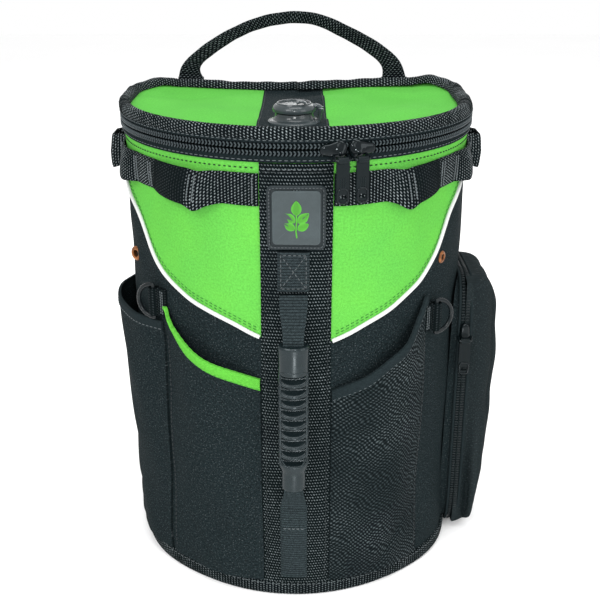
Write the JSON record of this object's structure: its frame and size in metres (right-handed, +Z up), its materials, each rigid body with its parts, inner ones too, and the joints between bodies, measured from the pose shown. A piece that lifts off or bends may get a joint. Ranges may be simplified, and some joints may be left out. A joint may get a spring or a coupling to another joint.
{
  "type": "gear and picking bag",
  "caption": "Upright padded carrying bag with a half-round front, hinged zip lid with a cord port, webbing gear loops, grab handles, slip pockets and a zipped side pouch.",
  "frame": {"origin": "centre of the front half circle of the base, on the ground face", "axes": "+Z up, the front with the handle and label faces -Y, +X to the right seen from the front"},
  "size_m": [0.3258, 0.2686, 0.4375],
  "materials": {
    "black_cloth": "plain weave",
    "green_cloth": "plain weave",
    "lid_cloth": "coated plain weave",
    "black_webbing": "ribbed webbing",
    "green_binding": "fold-over binding",
    "smooth_binding": "smooth fold-over binding",
    "mesh_cloth": "coarse ballistic weave",
    "lining_cloth": "coated lining",
    "white_piping": "satin",
    "base_cloth": "rubberised",
    "stiffener": "matt",
    "zip_tape": "knitted tape",
    "zip_coil": "satin",
    "slider_metal": "gloss black",
    "pull_metal": "satin black",
    "port_plastic": "clear smoky",
    "grip_rubber": "matt moulded",
    "label_rubber": "matt moulded",
    "eyelet_brass": "polished",
    "ring_metal": "satin black",
    "pad_mesh": "spacer mesh",
    "buckle_plastic": "moulded"
  },
  "bodies": {
    "bag": {"lower_body": "black_cloth", "upper_yoke": "green_cloth", "lining": "lining_cloth", "base_panel": "base_cloth", "base_board": "stiffener", "base_binding": "black_webbing", "piping": "white_piping", "spine_strap": "black_webbing", "label_patch": "label_rubber", "handle_patch_upper": "black_webbing", "handle_patch_lower": "black_webbing", "zip_tape_lower": "zip_tape", "zip_coil_lower": "zip_coil", "gear_band_left": "black_webbing", "gear_band_right": "black_webbing", "front_pocket_left": "black_cloth", "front_pocket_left_binding": "green_binding", "front_pocket_right": "mesh_cloth", "front_pocket_right_binding": "smooth_binding", "side_pocket": "black_cloth", "side_pocket_hem": "smooth_binding", "pouch_gusset": "black_cloth", "pouch_coil_inner": "zip_coil", "d_ring_left_tab": "black_webbing", "d_ring_right_tab": "black_webbing", "eyelet_left": "eyelet_brass", "eyelet_right": "eyelet_brass", "top_handle_anchors": "black_webbing", "back_pad": "pad_mesh", "shoulder_strap_left": "pad_mesh", "shoulder_strap_right": "pad_mesh", "ladder_lock_left": "buckle_plastic", "ladder_lock_right": "buckle_plastic", "strap_webbing_left": "black_webbing", "strap_webbing_right": "black_webbing", "side_tab": "black_webbing"},
    "lid": {"lid_panel_left": "green_cloth", "lid_panel_right": "green_cloth", "lid_center_strip": "lid_cloth", "lid_gusset": "lid_cloth", "lid_binding": "black_webbing", "zip_tape_upper": "zip_tape", "zip_coil_upper": "zip_coil", "port_flange": "port_plastic", "port_hinge_pin": "slider_metal"},
    "port_cap": {"port_cap": "port_plastic"},
    "slider_left": {"slider_left": "slider_metal"},
    "slider_right": {"slider_right": "slider_metal"},
    "pull_left": {"pull_left": "pull_metal"},
    "pull_right": {"pull_right": "pull_metal"},
    "ring_left": {"d_ring_left": "ring_metal"},
    "ring_right": {"d_ring_right": "ring_metal"},
    "top_handle": {"top_handle": "black_webbing"},
    "front_grip": {"grip_sleeve": "grip_rubber", "grip_strap_upper": "black_webbing", "grip_strap_lower": "black_webbing"},
    "pouch_cover": {"pouch_cover": "black_cloth", "pouch_coil_outer": "zip_coil"},
    "pouch_slider": {"pouch_slider": "slider_metal"},
    "pouch_pull": {"pouch_pull": "pull_metal"}
  },
  "joints": [
    {"name": "lid_hinge", "type": "hinge", "parent": "bag", "child": "lid", "pos_m": [0, 0.08, 0.382], "axis": [-1, 0, 0], "range_deg": [0, 90]},
    {"name": "port_cap_flip", "type": "hinge", "parent": "lid", "child": "port_cap", "pos_m": [0.0174, -0.092, 0.386], "axis": [0, 1, 0], "range_deg": [0, 150]},
    {"name": "zip_left_travel", "type": "hinge", "parent": "bag", "child": "slider_left", "pos_m": [0, 0, 0.367], "axis": [0, 0, 1], "range_deg": [-94, 0]},
    {"name": "zip_right_travel", "type": "hinge", "parent": "bag", "child": "slider_right", "pos_m": [0, 0, 0.367], "axis": [0, 0, 1], "range_deg": [0, 65]},
    {"name": "pull_left_flip", "type": "hinge", "parent": "slider_left", "child": "pull_left", "pos_m": [0.03106, -0.14613, 0.3615], "axis": [-0.9781, -0.2079, 0], "range_deg": [0, 150]},
    {"name": "pull_right_flip", "type": "hinge", "parent": "slider_right", "child": "pull_right", "pos_m": [0.04443, -0.14264, 0.3615], "axis": [-0.9548, -0.2974, 0], "range_deg": [0, 150]},
    {"name": "ring_left_swing", "type": "hinge", "parent": "bag", "child": "ring_left", "pos_m": [-0.10908, -0.08833, 0.238], "axis": [0, 0, 1], "range_deg": [0, 90]},
    {"name": "ring_right_swing", "type": "hinge", "parent": "bag", "child": "ring_right", "pos_m": [0.10742, -0.09014, 0.226], "axis": [0, 0, 1], "range_deg": [-90, 0]},
    {"name": "top_handle_fold", "type": "hinge", "parent": "bag", "child": "top_handle", "pos_m": [0, 0.0838, 0.378], "axis": [-1, 0, 0], "range_deg": [0, 90], "stiffness_Nm_per_rad": 0.05},
    {"name": "front_grip_swing", "type": "hinge", "parent": "bag", "child": "front_grip", "pos_m": [-0.002, -0.1394, 0.176], "axis": [0, 0, 1], "range_deg": [-28, 28]},
    {"name": "pouch_cover_open", "type": "hinge", "parent": "bag", "child": "pouch_cover", "pos_m": [0.1388, 0.036, 0.133], "axis": [0, 0, 1], "range_deg": [0, 100]},
    {"name": "pouch_zip_travel", "type": "slide", "parent": "bag", "child": "pouch_slider", "axis": [0, 0, 1], "range_m": [-0.15, 0.035]},
    {"name": "pouch_pull_flip", "type": "hinge", "parent": "pouch_slider", "child": "pouch_pull", "pos_m": [0.1385, -0.0529, 0.188], "axis": [-1, 0, 0], "range_deg": [0, 150]}
  ]
}
